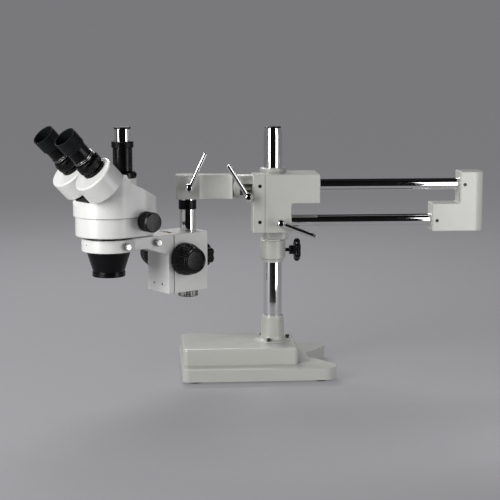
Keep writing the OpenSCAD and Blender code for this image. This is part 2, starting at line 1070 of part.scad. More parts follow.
// Frame of a prism housing: origin where its turning axis leaves the head, +Z along the
// eyetube, +X down its end face, s = 1 on the user's right
module drum_frame(s) {
    translate([drum_foot[0], s * drum_w, drum_foot[1]])
        rotate([0, 90 - eye_tilt, 0])
            children();
}

// Frame of the eyetube: origin on the prism housing's end face
module tube_frame(s) {
    drum_frame(s)
        translate([-tube_up, -s * tube_in, drum_len])
            children();
}

module prism_housing(s) {
    color("whitesmoke")
        at_head()
            drum_frame(s)
                difference() {
                    turned([
                        [drum_r - 2, 0.3],
                        [drum_r, 2.3],
                        [drum_r, drum_len - 2.5],
                        [drum_r - 2.5, drum_len]
                    ]);
                    translate([0, 0, wall])
                        cylinder(r = drum_r - wall, h = drum_len - 2 * wall);
                    cylinder(r = 11, h = 10);
                    translate([-tube_up, -s * tube_in, drum_len - 10])
                        cylinder(r = 13, h = 20);
                }
}

module right_prism_housing() {
    prism_housing(1);
}

module left_prism_housing() {
    prism_housing(-1);
}

module prism(s) {
    color([0.75, 0.85, 0.9, 0.5])
        at_head()
            drum_frame(s)
                translate([-tube_up / 2 - 14, -s * tube_in / 2 - 11, wall + 0.2])
                    cube([28, 22, drum_len - 2 * wall - 6]);
}

module right_prism() {
    prism(1);
}

module left_prism() {
    prism(-1);
}

module eyetube(s) {
    color([0.06, 0.06, 0.06])
        at_head()
            tube_frame(s)
                difference() {
                    turned([
                        [13, -3],
                        [13, 0],
                        [19.2, 0],
                        [19.2, 4.5],
                        [16.8, 6.5],
                        [16.8, 26]
                    ]);
                    translate([0, 0, -4])
                        cylinder(r = 15.05 - 4, h = 8);
                    translate([0, 0, 3.5])
                        cylinder(r = 15.05, h = 30);
                }
}

module right_eyetube() {
    eyetube(1);
}

module left_eyetube() {
    eyetube(-1);
}

module diopter_ring(s) {
    color([0.08, 0.08, 0.08])
        at_head()
            tube_frame(s)
                translate([0, 0, 7.2])
                    difference() {
                        union() {
                            turned([[19.6, 0], [20.6, 1.5], [20.6, 3]]);
                            translate([0, 0, 2.9])
                                ribbed(20.6, 9, 36, 0.5);
                            translate([0, 0, 11.8])
                                turned([[20.2, 0], [18.4, 4.5]]);
                        }
                        translate([0, 0, -1])
                            cylinder(r = 16.8 + run_gap, h = 30);
                    }
}

module right_diopter_ring() {
    diopter_ring(1);
}

module left_diopter_ring() {
    diopter_ring(-1);
}

// Slides into the eyetube; its barrel carries two thin bright rings and the eyecup
module eyepiece(s) {
    color([0.05, 0.05, 0.05])
        at_head()
            tube_frame(s)
                difference() {
                    turned([
                        [15, 4.5],
                        [15, 26.2],
                        [17.2, 26.4],
                        [17.2, 31.4],
                        [16.4, 32],
                        [16.4, 58],
                        [15.4, 59]
                    ]);
                    translate([0, 0, 4])
                        cylinder(r = 11.5, h = 49);
                    translate([0, 0, 55])
                        cylinder(r = 11, h = 6);
                }
}

module right_eyepiece() {
    eyepiece(1);
}

module left_eyepiece() {
    eyepiece(-1);
}

module eyecup(s) {
    color([0.04, 0.04, 0.05])
        at_head()
            tube_frame(s)
                rotate_extrude()
                    polygon([
                        [16.4, 44],
                        [17.6, 44],
                        [18.6, 50],
                        [18.9, 74.5],
                        [18.2, 75.5],
                        [17.2, 75],
                        [16.4, 60]
                    ]);
}

module right_eyecup() {
    eyecup(1);
}

module left_eyecup() {
    eyecup(-1);
}

// ---------- photo port ----------

module photo_tube() {
    color([0.05, 0.05, 0.05])
        at_head()
            translate([photo_u, 0, 0])
                difference() {
                    turned([
                        [21.3, photo_z[0]],
                        [21.3, photo_z[1] - 1],
                        [20.3, photo_z[1]],
                        [15.9, photo_z[1]],
                        [15.9, photo_z[2] - 0.4]
                    ]);
                    translate([0, 0, 300])
                        cylinder(r = 13.2 + run_gap, h = 120);
                }
}

module photo_draw_tube() {
    color("silver")
        at_head()
            translate([photo_u, 0, photo_z[0] + 12])
                ring_solid(13.2, 11.6, photo_z[4] - photo_z[0] - 12);
}

module photo_clamp_ring() {
    color([0.07, 0.07, 0.07])
        at_head()
            translate([photo_u, 0, photo_z[2]])
                difference() {
                    ribbed(18, photo_z[3] - photo_z[2], 40, 0.5);
                    translate([0, 0, -1])
                        cylinder(r = 13.2 + run_gap, h = 20);
                }
}

module photo_cap() {
    color([0.05, 0.05, 0.05])
        at_head()
            translate([photo_u, 0, photo_z[4] + 0.1])
                union() {
                    turned([[13.9, 0], [13.9, 2.2], [13, 2.9]]);
                    translate([0, 0, -8])
                        ring_solid(11.55, 9.5, 8.1);
                }
}

base_casting();
rubber_feet();
pillar_socket();
socket_screws();
pillar();
pillar_cap();
stop_collar();
collar_knob();
thrust_washer();
boom_block();
rod_bushings();
boom_lock_lever();
swing_lock_knob();
upper_rod();
lower_rod();
rear_bracket();
front_yoke();
rod_set_screws();
tilt_lever();
swing_arm();
tilt_spindle();
post_lever();
focus_post();
post_spacer();
post_stop_ring();
focus_housing();
post_clamp_knob();
pinion_shaft();
right_focus_knob();
left_focus_knob();
ring_holder();
dovetail_slide();
focus_rack();
ring_clamp_screw();
arm_clamp_screw();
lower_housing();
upper_housing();
objective_shroud();
objective_lenses();
zoom_shaft();
right_zoom_knob();
left_zoom_knob();
zoom_lens_cells();
zoom_guide_rods();
right_prism_housing();
left_prism_housing();
right_prism();
left_prism();
right_eyetube();
left_eyetube();
right_diopter_ring();
left_diopter_ring();
right_eyepiece();
left_eyepiece();
right_eyecup();
left_eyecup();
photo_tube();
photo_draw_tube();
photo_clamp_ring();
photo_cap();
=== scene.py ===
import json
import math

import bmesh
import bpy
from mathutils import Matrix, Vector


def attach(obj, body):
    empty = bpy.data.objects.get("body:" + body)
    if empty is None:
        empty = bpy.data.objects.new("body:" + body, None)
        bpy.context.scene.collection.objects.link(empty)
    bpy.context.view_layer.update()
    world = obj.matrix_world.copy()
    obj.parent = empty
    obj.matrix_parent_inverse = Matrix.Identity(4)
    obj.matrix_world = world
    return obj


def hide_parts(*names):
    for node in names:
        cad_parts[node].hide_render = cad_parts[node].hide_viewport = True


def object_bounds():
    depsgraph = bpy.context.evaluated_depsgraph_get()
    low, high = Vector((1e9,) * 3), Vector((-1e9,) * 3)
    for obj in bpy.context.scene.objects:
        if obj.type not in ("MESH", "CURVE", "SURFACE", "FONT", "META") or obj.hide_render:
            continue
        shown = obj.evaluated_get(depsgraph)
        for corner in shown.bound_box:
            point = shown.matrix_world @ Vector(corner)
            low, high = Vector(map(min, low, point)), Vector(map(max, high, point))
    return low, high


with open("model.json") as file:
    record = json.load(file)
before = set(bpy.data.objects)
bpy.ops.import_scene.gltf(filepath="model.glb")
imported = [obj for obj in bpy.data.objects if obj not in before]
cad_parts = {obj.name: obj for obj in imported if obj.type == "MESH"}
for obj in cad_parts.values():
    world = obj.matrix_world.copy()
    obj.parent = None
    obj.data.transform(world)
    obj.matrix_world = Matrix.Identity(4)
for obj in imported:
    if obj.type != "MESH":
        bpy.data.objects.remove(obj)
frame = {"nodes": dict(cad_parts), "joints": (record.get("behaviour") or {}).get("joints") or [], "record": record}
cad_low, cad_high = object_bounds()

# A stereo microscope on a double-arm boom stand. Sizes are in millimetres in each piece's own
# frame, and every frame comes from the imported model's joints and boxes.

MM = 0.001
scene = bpy.context.scene
joints = {joint["name"]: joint for joint in frame["joints"]}
UP = Vector((0, 0, 1))


# ---------- frames ----------

def frame_of(origin, x, y, z):
    """Matrix of a local frame with its origin in metres."""
    place = Matrix((x, y, z)).transposed().to_4x4()
    place.translation = origin
    return place


def joint_axis(name):
    return Vector(joints[name]["axis"]).normalized()


def joint_point(name):
    return Vector(joints[name]["pos_m"])


def on_floor(point):
    return Vector((point.x, point.y, 0))


WORLD = Matrix.Identity(4)
RIGHT = Vector((1, 0, 0))                     # along the boom, towards its rear
FACING = frame_of(Vector((0, 0, 0)), RIGHT, UP, Vector((0, -1, 0)))   # the world's XZ plane, from the front
SIDE = joint_axis("pinion_turn")              # to the user's right
USER = SIDE.cross(UP)                         # towards the user
POST = frame_of(on_floor(joint_point("post_swivel")), USER, SIDE, UP)
HEAD = frame_of(on_floor(joint_point("head_turn")), USER, SIDE, UP)


def along(point, axis, across):
    """Frame at a point with +Z along axis and +X near across."""
    z = axis.normalized()
    y = z.cross(across).normalized()
    return frame_of(point, y.cross(z), y, z)


def extent(node, place=WORLD):
    """Lowest and highest corner of a CAD node in a frame, mm."""
    back = place.inverted()
    points = [back @ v.co for v in frame["nodes"][node].data.vertices]
    low = [min(p[i] for p in points) / MM for i in range(3)]
    high = [max(p[i] for p in points) / MM for i in range(3)]
    return Vector(low), Vector(high)


# ---------- shared sizes ----------

PILLAR_R, PILLAR_BORE = 16, 16.05
ROD_Y, ROD_R = joint_point("arm_roll").y / MM, 10
SET_SCREW_Z, SET_SCREW_R = (321, 260), 3
STUD_BORE = 3.05
POST_BORE = 13.8
NECK_R = 38.05
PORT_U = -29.5                                # photo port, behind the optical axis


# ---------- outlines ----------

def rounded(points, closed=False, steps=5):
    """Points of an outline given as corners (x, y) or (x, y, fillet radius)."""
    out = []
    count = len(points)
    for i, corner in enumerate(points):
        here = Vector(corner[:2])
        radius = corner[2] if len(corner) > 2 else 0
        if not radius or (not closed and i in (0, count - 1)):
            out.append(here)
            continue
        before = (Vector(points[i - 1][:2]) - here).normalized()
        after = (Vector(points[(i + 1) % count][:2]) - here).normalized()
        half = before.angle(after) / 2
        centre = here + (before + after).normalized() * radius / math.sin(half)
        start = here + before * radius / math.tan(half) - centre
        end = here + after * radius / math.tan(half) - centre
        first = math.atan2(start.y, start.x)
        turn = math.atan2(end.y, end.x) - first
        turn = (turn + math.pi) % (2 * math.pi) - math.pi
        for k in range(steps + 1):
            angle = first + turn * k / steps
            out.append(centre + radius * Vector((math.cos(angle), math.sin(angle))))
    return out


def rectangle(x, y, radius):
    return [(x[0], y[0], radius), (x[1], y[0], radius), (x[1], y[1], radius), (x[0], y[1], radius)]


def arc(centre, radius, start, end, steps=12):
    """Points on an arc, angles in degrees."""
    points = []
    for k in range(steps + 1):
        angle = math.radians(start + (end - start) * k / steps)
        points.append((centre[0] + radius * math.cos(angle), centre[1] + radius * math.sin(angle)))
    return points


# ---------- meshes ----------

def to_object(name, bm, place):
    bmesh.ops.remove_doubles(bm, verts=bm.verts, dist=0.001)
    bmesh.ops.recalc_face_normals(bm, faces=bm.faces)
    bm.transform(place @ Matrix.Scale(MM, 4))
    mesh = bpy.data.meshes.new(name)
    bm.to_mesh(mesh)
    bm.free()
    obj = bpy.data.objects.new(name, mesh)
    scene.collection.objects.link(obj)
    return obj


def settle(obj):
    """Applies the modifiers to the mesh."""
    depsgraph = bpy.context.evaluated_depsgraph_get()
    mesh = bpy.data.meshes.new_from_object(obj.evaluated_get(depsgraph), depsgraph=depsgraph)
    obj.modifiers.clear()
    obj.data = mesh
    return obj


def lathe(name, place, profile, closed=False, segments=96, ribs=None):
    """Turned piece about the frame's +Z. The profile's corners are (r, z, fillet, rib share).

    ribs is (count, depth, pattern): the pattern says how deep each step of one rib is cut."""
    points = rounded(profile, closed)
    if ribs:
        count, depth, pattern = ribs
        segments = count * len(pattern)
        share = rib_shares(profile, points)
    bm = bmesh.new()
    rings = []
    for i, (radius, z) in enumerate(points):
        if radius < 1e-6:
            rings.append([bm.verts.new((0, 0, z))])
            continue
        ring = []
        for k in range(segments):
            angle = 2 * math.pi * k / segments
            r = radius
            if ribs:
                r -= depth * share[i] * pattern[k % len(pattern)]
            ring.append(bm.verts.new((r * math.cos(angle), r * math.sin(angle), z)))
        rings.append(ring)
    pairs = list(zip(rings, rings[1:]))
    if closed:
        pairs.append((rings[-1], rings[0]))
    for a, b in pairs:
        for k in range(segments):
            n = (k + 1) % segments
            loop = [a[k % len(a)], a[n % len(a)], b[n % len(b)], b[k % len(b)]]
            corners = list(dict.fromkeys(loop))
            if len(corners) > 2:
                bm.faces.new(corners)
    return to_object(name, bm, place)


def rib_shares(profile, points):
    """How much of the rib depth each outline point takes, from its nearest profile corner."""
    shares = []
    for point in points:
        nearest = min(profile, key=lambda c: (Vector(c[:2]) - point).length)
        shares.append(nearest[3] if len(nearest) > 3 else 0)
    return shares


def prism(name, place, outline, z):
    """Outline in the frame's XY plane, from z[0] up to z[1]."""
    bm = bmesh.new()
    base = bm.faces.new([bm.verts.new((p[0], p[1], z[0])) for p in outline])
    grown = bmesh.ops.extrude_face_region(bm, geom=[base])
    tops = [v for v in grown["geom"] if isinstance(v, bmesh.types.BMVert)]
    bmesh.ops.translate(bm, verts=tops, vec=(0, 0, z[1] - z[0]))
    return to_object(name, bm, place)


def soften(obj, width, segments=3, angle=30):
    """Rounds every edge sharper than the angle."""
    bevel = obj.modifiers.new("soften", "BEVEL")
    bevel.width = width * MM
    bevel.segments = segments
    bevel.limit_method = "ANGLE"
    bevel.angle_limit = math.radians(angle)
    bevel.use_clamp_overlap = True
    bevel.miter_outer = "MITER_ARC"
    return settle(obj)


def combine(obj, others, operation):
    """Boolean of obj with the others, which are used up."""
    for other in others:
        modifier = obj.modifiers.new("combine", "BOOLEAN")
        modifier.operation = operation
        modifier.solver = "EXACT"
        modifier.object = other
        settle(obj)
        bpy.data.objects.remove(other)
    return obj


def cut(obj, *tools):
    return combine(obj, tools, "DIFFERENCE")


def fuse(obj, *others):
    return combine(obj, others, "UNION")


def drill(place, radius, z, segments=48):
    """Cutter for a round hole along the frame's +Z."""
    profile = [(0, z[0]), (radius, z[0]), (radius, z[1]), (0, z[1])]
    return lathe("drill", place, profile, segments=segments)


def join(objects):
    """Several meshes as one object."""
    first = objects[0]
    bm = bmesh.new()
    for obj in objects:
        bm.from_mesh(obj.data)
    bm.to_mesh(first.data)
    bm.free()
    for obj in objects[1:]:
        bpy.data.objects.remove(obj)
    return first


def dress(obj, body, slot, material, *nodes, sharp=32):
    """Finish, body and CAD nodes of a piece."""
    for polygon in obj.data.polygons:
        polygon.use_smooth = True
    obj.data.set_sharp_from_angle(angle=math.radians(sharp))
    even = obj.modifiers.new("even", "WEIGHTED_NORMAL")
    even.keep_sharp = True
    obj.data.materials.clear()
    obj.data.materials.append(material)
    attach(obj, body)
    if nodes:
        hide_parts(*nodes)
    return obj


# ---------- materials ----------

class Shader:
    """One node material with object-space noises."""

    def __init__(self, name, color, roughness, metallic=0.0):
        self.material = bpy.data.materials.new(name)
        self.material.use_nodes = True
        self.nodes = self.material.node_tree.nodes
        self.links = self.material.node_tree.links
        self.bsdf = self.nodes["Principled BSDF"]
        self.bsdf.inputs["Base Color"].default_value = (*color, 1)
        self.bsdf.inputs["Roughness"].default_value = roughness
        self.bsdf.inputs["Metallic"].default_value = metallic
        self.coord = self.nodes.new("ShaderNodeTexCoord")
        self.last_bump = None

    def noise(self, scale, detail=3.0, stretch=(1, 1, 1)):
        mapping = self.nodes.new("ShaderNodeMapping")
        mapping.inputs["Scale"].default_value = stretch
        noise = self.nodes.new("ShaderNodeTexNoise")
        noise.inputs["Scale"].default_value = scale
        noise.inputs["Detail"].default_value = detail
        self.links.new(self.coord.outputs["Object"], mapping.inputs["Vector"])
        self.links.new(mapping.outputs["Vector"], noise.inputs["Vector"])
        return noise.outputs["Fac"]

    def between(self, value, low, high):
        ramp = self.nodes.new("ShaderNodeMapRange")
        ramp.inputs["From Min"].default_value = 0.3
        ramp.inputs["From Max"].default_value = 0.7
        ramp.inputs["To Min"].default_value = low
        ramp.inputs["To Max"].default_value = high
        self.links.new(value, ramp.inputs["Value"])
        return ramp.outputs["Result"]

    def vary_color(self, value, low, high):
        mix = self.nodes.new("ShaderNodeMix")
        mix.data_type = "RGBA"
        mix.inputs["A"].default_value = (*low, 1)
        mix.inputs["B"].default_value = (*high, 1)
        self.links.new(self.between(value, 0, 1), mix.inputs["Factor"])
        self.links.new(mix.outputs["Result"], self.bsdf.inputs["Base Color"])

    def vary_roughness(self, value, low, high):
        self.links.new(self.between(value, low, high), self.bsdf.inputs["Roughness"])

    def bump(self, value, depth, strength=1.0):
        bump = self.nodes.new("ShaderNodeBump")
        bump.inputs["Strength"].default_value = strength
        bump.inputs["Distance"].default_value = depth * MM
        self.links.new(value, bump.inputs["Height"])
        if self.last_bump:
            self.links.new(self.last_bump, bump.inputs["Normal"])
        self.links.new(bump.outputs["Normal"], self.bsdf.inputs["Normal"])
        self.last_bump = bump.outputs["Normal"]

    def coat(self, weight, roughness):
        self.bsdf.inputs["Coat Weight"].default_value = weight
        self.bsdf.inputs["Coat Roughness"].default_value = roughness


def scaled(color, factor):
    return tuple(min(1.0, c * factor) for c in color)


def paint(name, color, roughness):
    """Sprayed enamel: faint orange peel and slightly uneven gloss and tone."""
    shader = Shader(name, color, roughness)
    shader.vary_color(shader.noise(9), scaled(color, 0.97), scaled(color, 1.02))
    shader.vary_roughness(shader.noise(60), roughness - 0.04, roughness + 0.06)
    shader.bump(shader.noise(650, 2), 0.035)
    shader.bump(shader.noise(60, 1), 0.12)
    shader.coat(0.25, 0.22)
    return shader.material


def chrome(name, color, roughness):
    """Polished plating with faint wiping marks."""
    shader = Shader(name, color, roughness, 1.0)
    shader.vary_roughness(shader.noise(140, 4), roughness * 0.6, roughness * 1.8)
    shader.bump(shader.noise(300, 5, (1, 1, 0.08)), 0.0015)
    return shader.material


def turned_steel(name, color, roughness):
    """Ground or turned metal with fine tool marks."""
    shader = Shader(name, color, roughness, 1.0)
    shader.vary_roughness(shader.noise(220, 4), roughness * 0.8, roughness * 1.3)
    shader.vary_color(shader.noise(45), scaled(color, 0.82), scaled(color, 1.1))
    shader.bump(shader.noise(2600, 3, (0.15, 0.15, 1)), 0.02)
    return shader.material


def black(name, color, roughness, grain, coat_weight):
    """Anodised metal or moulded plastic: fine grain and soft gloss."""
    shader = Shader(name, color, roughness)
    shader.vary_color(shader.noise(35), scaled(color, 0.8), scaled(color, 1.35))
    shader.vary_roughness(shader.noise(180, 4), roughness - 0.05, roughness + 0.08)
    shader.bump(shader.noise(1400, 3), grain)
    shader.coat(coat_weight, 0.18)
    shader.bsdf.inputs["Specular IOR Level"].default_value = 0.28
    return shader.material


def rubber(name, color):
    """Soft matt rubber with fine dust in its grain."""
    shader = Shader(name, color, 0.62)
    shader.vary_color(shader.noise(120, 6), color, scaled(color, 1.7))
    shader.vary_roughness(shader.noise(260, 4), 0.52, 0.72)
    shader.bump(shader.noise(1800, 4), 0.03)
    shader.bsdf.inputs["Specular IOR Level"].default_value = 0.3
    shader.bsdf.inputs["Sheen Weight"].default_value = 0.06
    shader.bsdf.inputs["Sheen Roughness"].default_value = 0.4
    return shader.material


def glass(name, color):
    """Coated optical glass, dark inside with a faint blue-violet bloom."""
    shader = Shader(name, color, 0.04)
    shader.vary_color(shader.noise(60), scaled(color, 0.8), scaled(color, 1.25))
    shader.bump(shader.noise(90, 1), 0.004)
    shader.coat(0.8, 0.03)
    shader.bsdf.inputs["IOR"].default_value = 1.6
    return shader.material


STAND_PAINT = paint("stand_enamel", (0.44, 0.443, 0.415), 0.36)
HEAD_PAINT = paint("head_enamel", (0.66, 0.66, 0.645), 0.33)
CHROME = chrome("polished_chrome", (0.80, 0.80, 0.80), 0.045)
BRASS = turned_steel("turned_brass", (0.56, 0.41, 0.17), 0.3)
NYLON = paint("natural_nylon", (0.62, 0.61, 0.55), 0.45)
THUMB = chrome("knurled_nickel", (0.42, 0.42, 0.41), 0.2)
BAND = chrome("engraved_band", (0.62, 0.62, 0.62), 0.25)
STEEL = turned_steel("ground_steel", (0.36, 0.35, 0.30), 0.38)
SCREW = turned_steel("dark_screw_steel", (0.10, 0.10, 0.10), 0.42)
# Black anodised finish of the tubes and shroud, also used on the head's neck as painted shade in the gap under the
# housing.
ANODISED_AND_GAP_SHADE = black("black_anodised_and_gap_shade", (0.004, 0.004, 0.0048), 0.28, 0.012, 0.06)
PLASTIC = black("black_plastic", (0.005, 0.005, 0.006), 0.34, 0.02, 0.06)
KNOB = black("knob_plastic", (0.004, 0.004, 0.0045), 0.27, 0.015, 0.12)
EYECUP = rubber("eyecup_rubber", (0.0055, 0.0062, 0.0078))
FOOT = rubber("foot_rubber", (0.02, 0.02, 0.02))
LENS = glass("coated_lens", (0.02, 0.022, 0.04))
MATERIALS = {
    "stand_paint": STAND_PAINT, "head_paint": HEAD_PAINT, "foot_rubber": FOOT,
    "dark_steel": SCREW, "pillar_chrome": CHROME, "lever_chrome": CHROME,
    "cap_plastic": PLASTIC, "knob_plastic": KNOB, "ring_plastic": KNOB,
    "bush_brass": BRASS, "washer_nylon": NYLON, "spindle_steel": STEEL, "black_metal": ANODISED_AND_GAP_SHADE,
    "eyecup_rubber": EYECUP, "optical_glass": LENS,
}


def dress_cad_nodes():
    """Gives every carried-over CAD node its finish."""
    for part in frame["record"]["subparts"]:
        mesh = frame["nodes"][part["node"]].data
        mesh.materials.clear()
        mesh.materials.append(MATERIALS[part["material_slot"]])


# ---------- stand ----------

def base_casting():
    low, high = extent("base_casting")
    plate_top, lobe, corner = 20, 24, 12
    bay_x, bay_half, bay_round = 60, 25, 9
    block_x, block_half = (low.x + 2, 38.5), 67
    middle = (low.y + high.y) / 2
    lobe_x, lobe_end = high.x - lobe, 34.4
    outline = rounded([
        (low.x, low.y, corner),
        *arc((lobe_x, low.y + lobe), lobe, -90, lobe_end, 20),
        (bay_x + bay_round + 0.1, middle - bay_half),
        (bay_x, middle - bay_half, bay_round),
        (bay_x, middle + bay_half, bay_round),
        (bay_x + bay_round + 0.1, middle + bay_half),
        *arc((lobe_x, high.y - lobe), lobe, -lobe_end, 90, 20),
        (low.x, high.y, corner),
    ], closed=True, steps=8)
    plate = soften(prism("base_casting", WORLD, outline, (0, plate_top)), 3.6, 4)
    block_y = (middle - block_half, middle + block_half)
    plan = rounded(rectangle(block_x, block_y, 9), closed=True, steps=8)
    block = soften(prism("block", WORLD, plan, (plate_top - 4, high.z)), 4.2, 5)
    piece = join([plate, block])
    dress(piece, "stand", "stand_paint", STAND_PAINT, "base_casting")


def rubber_feet():
    low, high = extent("rubber_feet")
    radius, sole = 13.5, 11.5
    profile = [(0, low.z), (sole, low.z, 1), (radius - 0.2, low.z + 1.5, 0.8), (radius, 0), (0, 0)]
    feet = []
    for x in (low.x + radius, high.x - radius):
        for y in (low.y + radius, high.y - radius):
            feet.append(lathe("foot", Matrix.Translation((x * MM, y * MM, 0)), profile, segments=64))
    feet[0].name = "rubber_feet"
    dress(join(feet), "stand", "foot_rubber", FOOT, "rubber_feet")


def pillar_socket():
    low, high = extent("pillar_socket")
    flange, neck, top = 31, 19.2, high.z
    profile = [
        (PILLAR_R, low.z), (flange, low.z), (flange, low.z + 0.9, 0.6), (neck + 3.8, low.z + 2.2, 3),
        (neck + 1.3, low.z + 7, 6), (neck + 0.8, top - 11), (neck, top - 10.2, 0.4), (neck, top - 4, 1),
        (neck - 1.6, top, 0.8), (PILLAR_R, top),
    ]
    piece = lathe("pillar_socket", WORLD, profile, closed=True)
    dress(piece, "stand", "stand_paint", STAND_PAINT, "pillar_socket")


def hex_cutter(place, radius, z):
    corners = [(p[0], p[1]) for p in arc((0, 0), radius, 0, 300, 5)]
    return prism("hex", place, corners, z)


def socket_screws():
    circle, angles, top = 27, (-110, 10, 130), extent("socket_screws")[1].z
    foot, shank, head, head_height, hex_r, hex_depth = 46, 2.5, 3.4, 3, 1.9, 1.8
    under = top - head_height
    profile = [(0, foot), (shank, foot), (shank, under), (head, under, 0.2), (head, top, 0.5), (0, top)]
    screws = []
    for angle in angles:
        place = Matrix.Rotation(math.radians(angle), 4, "Z") @ Matrix.Translation((circle * MM, 0, 0))
        screw = lathe("screw", place, profile, segments=48)
        screws.append(cut(screw, hex_cutter(place, hex_r, (top - hex_depth, top + 1))))
    screws[0].name = "socket_screws"
    dress(join(screws), "stand", "dark_steel", SCREW, "socket_screws")


def pillar():
    low, high = extent("pillar")
    radius, waist = high.x, 13.8
    profile = [
        (0, low.z), (radius, low.z, 1), (radius, high.z - 12, 6), (waist + 0.4, high.z - 2.6, 2),
        (waist, high.z - 0.6, 0.5), (waist - 0.6, high.z), (0, high.z),
    ]
    piece = lathe("pillar", WORLD, profile, segments=128)
    dress(piece, "stand", "pillar_chrome", CHROME, "pillar")
    plug, seat, top = 9, high.z, extent("pillar_cap")[1].z
    profile = [(0, seat - 3), (plug, seat - 3), (plug, seat), (waist, seat, 0.2),
               (waist, top - 0.8, 0.3), (waist - 1.2, top, 0.3), (0, top - 0.3)]
    dress(lathe("pillar_cap", WORLD, profile), "stand", "cap_plastic", PLASTIC, "pillar_cap")


# LOBES is (count, depth, pattern) of a clamp knob; KNURL and FLUTES are patterns of one rib
LOBES = (6, 3.2, [(0.5 - 0.5 * math.cos(2 * math.pi * k / 20)) ** 1.3 for k in range(20)])
KNURL = [0, 0, 0.15, 0.9, 1, 0.9, 0.15, 0]
FLUTES = [0, 0, 0, 0.55, 1, 1, 0.55]


def lobed_knob(name, place, stud, hub, grip, radius):
    """Six-lobed clamp knob on a hub and stud along the frame's +Z."""
    stud_r = 4 if radius < 20 else 3
    profile = [
        (0, stud), (stud_r, stud), (stud_r, hub),
        (7.4, hub, 0.6), (8, hub + 1.5, 0.5), (8, grip[0] - 0.8, 0.8),
        (radius - 3.5, grip[0], 1.5, 1), (radius, grip[0] + 3, 2, 1), (radius, grip[1] - 3.5, 2, 1),
        (radius - 3, grip[1], 2, 1), (9, grip[1], 1.5, 0.2), (8, grip[1] - 1, 0.8), (0, grip[1] - 1),
    ]
    return lathe(name, place, profile, ribs=LOBES)


def stop_collar():
    low, high = extent("stop_collar")
    lip, radius, step = 18.5, high.x, low.z + 6
    profile = [
        (PILLAR_BORE, low.z, 0.3), (lip, low.z, 0.6), (lip, step - 0.6, 0.3), (lip - 0.5, step - 0.3),
        (lip, step), (radius, step, 1.6), (radius, high.z, 1.8), (PILLAR_BORE, high.z, 0.3),
    ]
    collar = lathe("stop_collar", WORLD, profile, closed=True)
    dress(collar, "collar", "stand_paint", STAND_PAINT, "stop_collar")
    knob = extent("collar_knob")
    point = joint_point("collar_knob_turn")
    place = along(Vector((0, 0, point.z)), joint_axis("collar_knob_turn"), UP)
    piece = lobed_knob("collar_knob", place, knob[0].x, 28.5, (36.8, knob[1].x), 20)
    dress(piece, "collar_knob", "knob_plastic", KNOB, "collar_knob")


def rod_hole(node, radius, x):
    """Cutter along X on a boom rod's axis."""
    low, high = extent(node)
    axis = Vector((0, ROD_Y * MM, (low.z + high.z) / 2 * MM))
    return drill(along(axis, RIGHT, UP), radius, x)


def front_hole(x, z, radius, y):
    """Cutter that runs from y[0] to y[1], towards -Y."""
    return drill(along(Vector((x * MM, 0, z * MM)), Vector((0, -1, 0)), UP), radius, (-y[0], -y[1]))


def boom_block():
    low, high = extent("boom_block")
    face_x, step_x, step_z, block_low, block_high = -17.4, 27.6, 290.5, 241, 341
    rod_room, crown_r, boss_y, boss_round = 12, 22.5, -22, 14
    hidden = face_x - 10
    outline = [
        (hidden, block_low), (step_x, block_low), (step_x, step_z), (high.x, step_z),
        (high.x, block_high), (hidden, block_high),
    ]
    block = soften(prism("boom_block", FACING, outline, (-high.y, -low.y)), 3, 4)
    beyond = rectangle((hidden - 5, face_x), (block_low - 5, block_high + 5), 0)
    cut(block, prism("seam", FACING, beyond, (-90, 90)))
    plan = rounded(rectangle((face_x, step_x - 1), (boss_y, high.y), boss_round), closed=True, steps=8)
    boss = soften(prism("boss", WORLD, plan, (low.z, block_low + 5)), 1.5)
    crown_low = block_high + 0.05
    profile = [(0, crown_low), (crown_r, crown_low), (crown_r, high.z - 1.6, 2.5),
               (crown_r - 2.1, high.z, 0.8), (0, high.z)]
    crown = lathe("crown", WORLD, profile)
    block = join([cut(part, drill(WORLD, PILLAR_BORE, (200, 360))) for part in (block, boss, crown)])
    cut(block, rod_hole("upper_rod", rod_room, (face_x - 1, high.x + 1)))
    cut(block, rod_hole("lower_rod", rod_room, (face_x - 1, step_x + 1)))
    lever = joint_point("boom_lock_turn") / MM
    cut(block, front_hole(lever.x, lever.z, STUD_BORE, (ROD_Y - 13, low.y - 5)))
    dress(block, "block", "stand_paint", STAND_PAINT, "boom_block")


def swing_lock_knob():
    low, high = extent("swing_lock_knob")
    point = joint_point("swing_lock_turn")
    place = along(Vector((point.x, 0, point.z)), joint_axis("swing_lock_turn"), UP)
    piece = lobed_knob("swing_lock_knob", place, low.y, 21.6, (28.4, high.y), 17)
    dress(piece, "swing_lock", "knob_plastic", KNOB, "swing_lock_knob")


def boom_rod(node):
    low, high = extent(node)
    place = along(Vector((0, ROD_Y * MM, (low.z + high.z) / 2 * MM)), RIGHT, UP)
    profile = [(0, low.x), (ROD_R, low.x, 0.6), (ROD_R, high.x, 0.6), (0, high.x)]
    dress(lathe(node, place, profile, segments=128), "boom", "pillar_chrome", CHROME, node)


def rear_bracket():
    low, high = extent("rear_bracket")
    step_x, step_z, nose = 315, 289.6, 20
    outline = [
        (low.x, low.z), (high.x, low.z), (high.x, high.z), (step_x, high.z), (step_x, step_z), (low.x, step_z),
    ]
    bracket = prism("rear_bracket", FACING, outline, (-high.y, -low.y))
    plan = rounded([(low.x - 5, low.y - 0.01), (high.x, low.y - 0.01, nose), (high.x, high.y + 0.01, nose),
                    (low.x - 5, high.y + 0.01)], closed=True, steps=14)
    combine(bracket, [prism("plan", WORLD, plan, (low.z - 5, high.z + 5))], "INTERSECT")
    soften(bracket, 2.6, 4, 40)
    cut(bracket, rod_hole("upper_rod", ROD_R, (low.x - 1, high.x - 12)))
    cut(bracket, rod_hole("lower_rod", ROD_R, (low.x - 1, step_x)))
    for x, z in zip((step_x + 8, low.x + 8), SET_SCREW_Z):
        cut(bracket, front_hole(x, z, SET_SCREW_R, (ROD_Y - ROD_R, low.y - 3)))
    dress(bracket, "boom", "stand_paint", STAND_PAINT, "rear_bracket")


